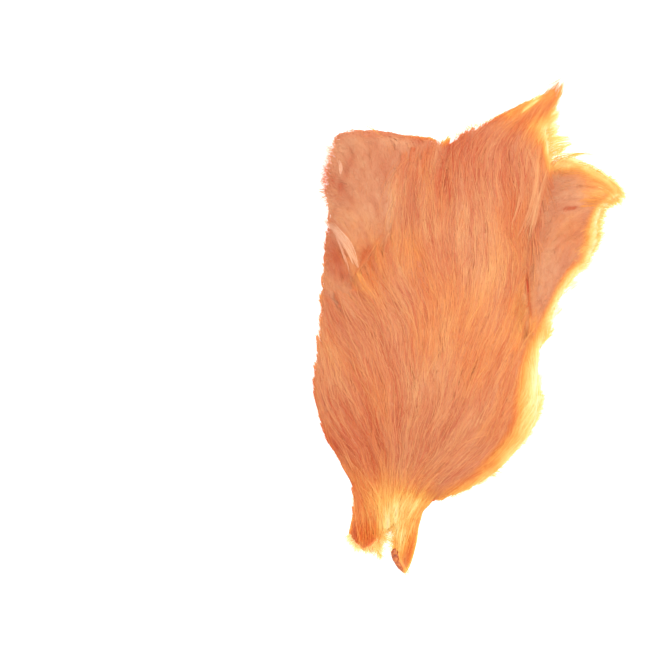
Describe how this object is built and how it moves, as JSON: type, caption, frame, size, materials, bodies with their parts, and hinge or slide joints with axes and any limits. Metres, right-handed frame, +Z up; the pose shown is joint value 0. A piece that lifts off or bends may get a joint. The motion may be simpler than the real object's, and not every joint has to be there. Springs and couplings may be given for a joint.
{
  "type": "rooster cape",
  "caption": "Dyed rooster neck cape lying flat: a fan of long soft hackle feathers on dried skin, swept to a point at one end, with downy shoulders and bare head strips",
  "frame": {"origin": "middle of the footprint, on the surface that the skin lies on", "axes": "+Z up through the feathers, +Y from the head strips towards the long hackle tips, +X to the right seen from above with the hackle tips away from the viewer"},
  "size_m": [0.1404, 0.2244, 0.0217],
  "materials": {
    "hackles": "matte",
    "down": "matte",
    "skin": "satin"
  },
  "bodies": {
    "root": {"cape": "hackles"}
  },
  "joints": []
}
